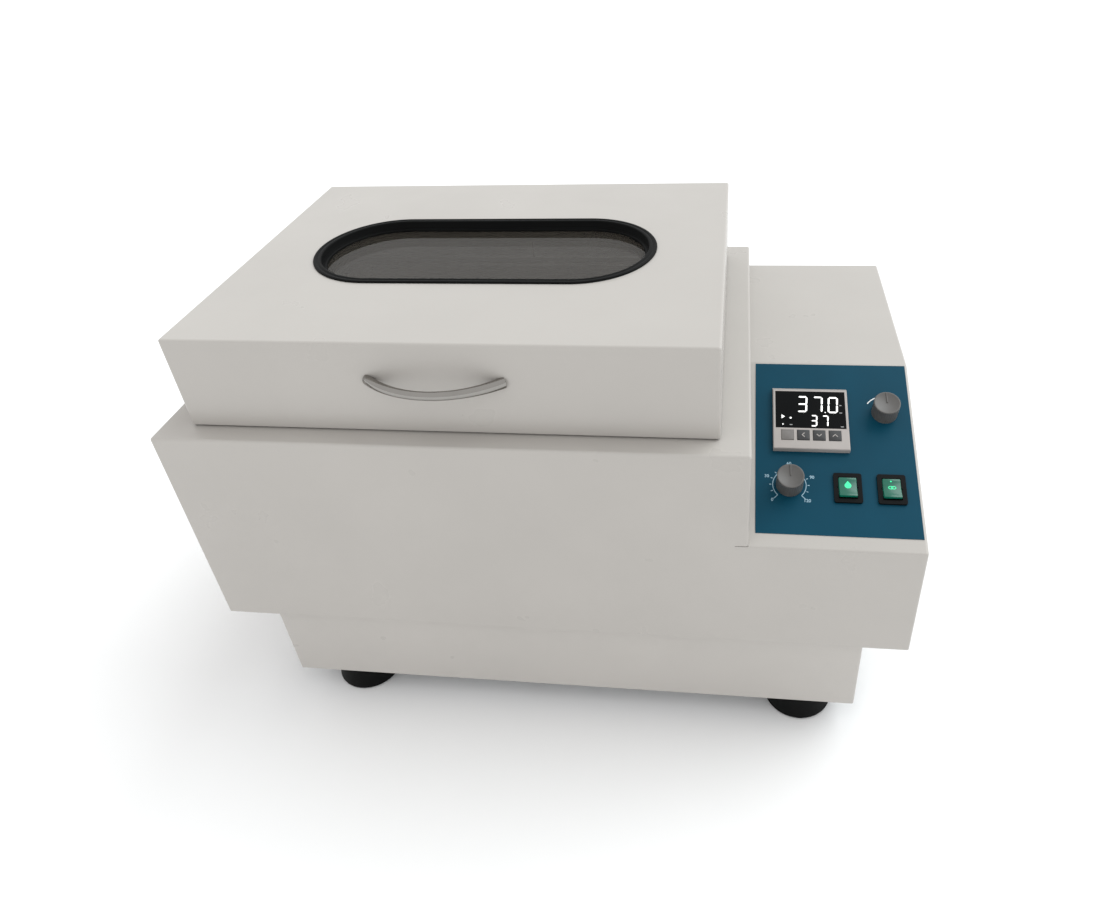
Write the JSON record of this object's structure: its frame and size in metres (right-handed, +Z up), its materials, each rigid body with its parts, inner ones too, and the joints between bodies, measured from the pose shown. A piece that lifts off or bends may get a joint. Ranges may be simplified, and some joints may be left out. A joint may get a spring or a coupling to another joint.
{
  "type": "shaking water bath",
  "caption": "Thermostatic shaking water bath: heated tank with an orbiting flask tray under a hinged windowed lid, and a sloped control console.",
  "frame": {"origin": "centre of the bounding box on the bench, at the underside of the feet", "axes": "+X along the width towards the control console, +Y to the rear, +Z up"},
  "size_m": [0.7, 0.4294, 0.4506],
  "materials": {
    "casing_paint": "light grey powder coat, fine orange peel",
    "plinth_paint": "light grey powder coat, fine orange peel",
    "zinc_plate": "zinc plated",
    "stainless": "brushed stainless",
    "screw_steel": "bright zinc",
    "label_film": "satin printed film",
    "chrome_plate": "polished",
    "black_rubber": "matt",
    "grey_silicone": "matt silicone",
    "smoked_glass": "smoked, polished",
    "knob_grey": "satin moulded",
    "bezel_grey": "fine satin moulded",
    "display_black": "tinted gloss",
    "key_dark": "satin",
    "key_grey": "satin",
    "switch_black": "moulded gloss",
    "rocker_green": "translucent green gloss",
    "black_plastic": "moulded",
    "foam_wrap": "mineral wool blanket",
    "aluminium": "turned",
    "brass": "nickel-free, turned",
    "bearing_steel": "ground",
    "board_green": "solder mask",
    "motor_paint": "black enamel"
  },
  "bodies": {
    "housing": {"main_casing": "casing_paint", "rear_panel": "casing_paint", "casing_floor": "zinc_plate", "base_frame": "plinth_paint", "bottom_plate": "zinc_plate", "feet": "black_rubber", "foot_bolts": "zinc_plate", "case_screws": "screw_steel", "console_label": "label_film", "water_tank": "stainless", "tank_insulation": "foam_wrap", "heating_element": "stainless", "tank_glands": "brass", "temperature_probe": "stainless", "drain_valve": "brass", "hinge_fixed_leaves": "stainless", "hinge_pins": "stainless", "controller_case": "black_plastic", "controller_bezel": "bezel_grey", "display_window": "display_black", "timer_body": "aluminium", "speed_potentiometer": "aluminium", "switch_frames": "switch_black", "bearing_housings": "aluminium", "shaft_bearings": "bearing_steel", "drive_belt": "black_rubber", "motor_bracket": "zinc_plate", "drive_motor": "motor_paint", "relay": "black_plastic", "speed_board": "board_green", "power_inlet": "black_plastic"},
    "lid": {"lid_shell": "casing_paint", "lid_liner": "stainless", "lid_seal": "grey_silicone", "window_gasket": "black_rubber", "window_glass": "smoked_glass", "lid_handle": "chrome_plate", "lid_screws": "screw_steel", "hinge_moving_leaves": "stainless"},
    "shaker_table": {"orbit_table": "aluminium", "table_bearings": "bearing_steel", "drive_column": "stainless", "tray_hub": "stainless", "flask_tray": "stainless", "tray_knob": "black_plastic", "flask_clips": "stainless"},
    "crank": {"drive_crank": "aluminium"},
    "idler_front": {"idler_crank_front": "aluminium"},
    "idler_rear": {"idler_crank_rear": "aluminium"},
    "idler_right": {"idler_crank_right": "aluminium"},
    "motor_rotor": {"motor_pulley": "aluminium"},
    "timer_dial": {"timer_knob": "knob_grey"},
    "speed_dial": {"speed_knob": "knob_grey"},
    "set_key": {"key_set": "key_grey"},
    "shift_key": {"key_shift": "key_dark"},
    "down_key": {"key_down": "key_dark"},
    "up_key": {"key_up": "key_dark"},
    "heat_switch": {"heat_rocker": "rocker_green"},
    "shake_switch": {"shake_rocker": "rocker_green"},
    "drain_lever": {"valve_lever": "stainless"}
  },
  "joints": [
    {"name": "lid_hinge", "type": "hinge", "parent": "housing", "child": "lid", "pos_m": [0, 0.1887, 0.361], "axis": [-1, 0, 0], "range_deg": [0, 90]},
    {"name": "crank_spin", "type": "hinge", "parent": "housing", "child": "crank", "pos_m": [-0.07615, -0.00305, 0.0689], "axis": [0, 0, 1], "continuous": true},
    {"name": "tray_orbit", "type": "hinge", "parent": "crank", "child": "shaker_table", "pos_m": [-0.06615, -0.00305, 0.0689], "axis": [0, 0, 1], "continuous": true},
    {"name": "idler_front_spin", "type": "hinge", "parent": "housing", "child": "idler_front", "pos_m": [-0.18615, -0.07505, 0.0689], "axis": [0, 0, 1], "continuous": true},
    {"name": "idler_rear_spin", "type": "hinge", "parent": "housing", "child": "idler_rear", "pos_m": [-0.18615, 0.06895, 0.0689], "axis": [0, 0, 1], "continuous": true},
    {"name": "idler_right_spin", "type": "hinge", "parent": "housing", "child": "idler_right", "pos_m": [0.03385, -0.00305, 0.0689], "axis": [0, 0, 1], "continuous": true},
    {"name": "motor_spin", "type": "hinge", "parent": "housing", "child": "motor_rotor", "pos_m": [0.238, -0.00305, 0.0689], "axis": [0, 0, 1], "continuous": true},
    {"name": "timer_turn", "type": "hinge", "parent": "housing", "child": "timer_dial", "pos_m": [0.2305, -0.15541, 0.28755], "axis": [0, 0.3746, -0.9272], "range_deg": [-135, 135]},
    {"name": "speed_turn", "type": "hinge", "parent": "housing", "child": "speed_dial", "pos_m": [0.323, -0.07891, 0.31845], "axis": [0, 0.3746, -0.9272], "range_deg": [-135, 135]},
    {"name": "set_press", "type": "slide", "parent": "housing", "child": "set_key", "axis": [0, 0.3746, -0.9272], "range_m": [0, 0.0005], "stiffness_N_per_m": 1000},
    {"name": "shift_press", "type": "slide", "parent": "housing", "child": "shift_key", "axis": [0, 0.3746, -0.9272], "range_m": [0, 0.0005], "stiffness_N_per_m": 1000},
    {"name": "down_press", "type": "slide", "parent": "housing", "child": "down_key", "axis": [0, 0.3746, -0.9272], "range_m": [0, 0.0005], "stiffness_N_per_m": 1000},
    {"name": "up_press", "type": "slide", "parent": "housing", "child": "up_key", "axis": [0, 0.3746, -0.9272], "range_m": [0, 0.0005], "stiffness_N_per_m": 1000},
    {"name": "heat_rock", "type": "hinge", "parent": "housing", "child": "heat_switch", "pos_m": [0.2835, -0.154, 0.27873], "axis": [1, 0, 0], "range_deg": [0, 16]},
    {"name": "shake_rock", "type": "hinge", "parent": "housing", "child": "shake_switch", "pos_m": [0.323, -0.154, 0.27873], "axis": [1, 0, 0], "range_deg": [0, 16]},
    {"name": "valve_turn", "type": "hinge", "parent": "housing", "child": "drain_lever", "pos_m": [-0.32515, 0.10695, 0.09], "axis": [1, 0, 0], "range_deg": [0, 90]}
  ],
  "couplings": [
    {"joint": "crank_spin", "follows": "tray_orbit", "ratio": -1},
    {"joint": "idler_front_spin", "follows": "tray_orbit", "ratio": -1},
    {"joint": "idler_rear_spin", "follows": "tray_orbit", "ratio": -1},
    {"joint": "idler_right_spin", "follows": "tray_orbit", "ratio": -1},
    {"joint": "motor_spin", "follows": "tray_orbit", "ratio": -3.0619}
  ]
}
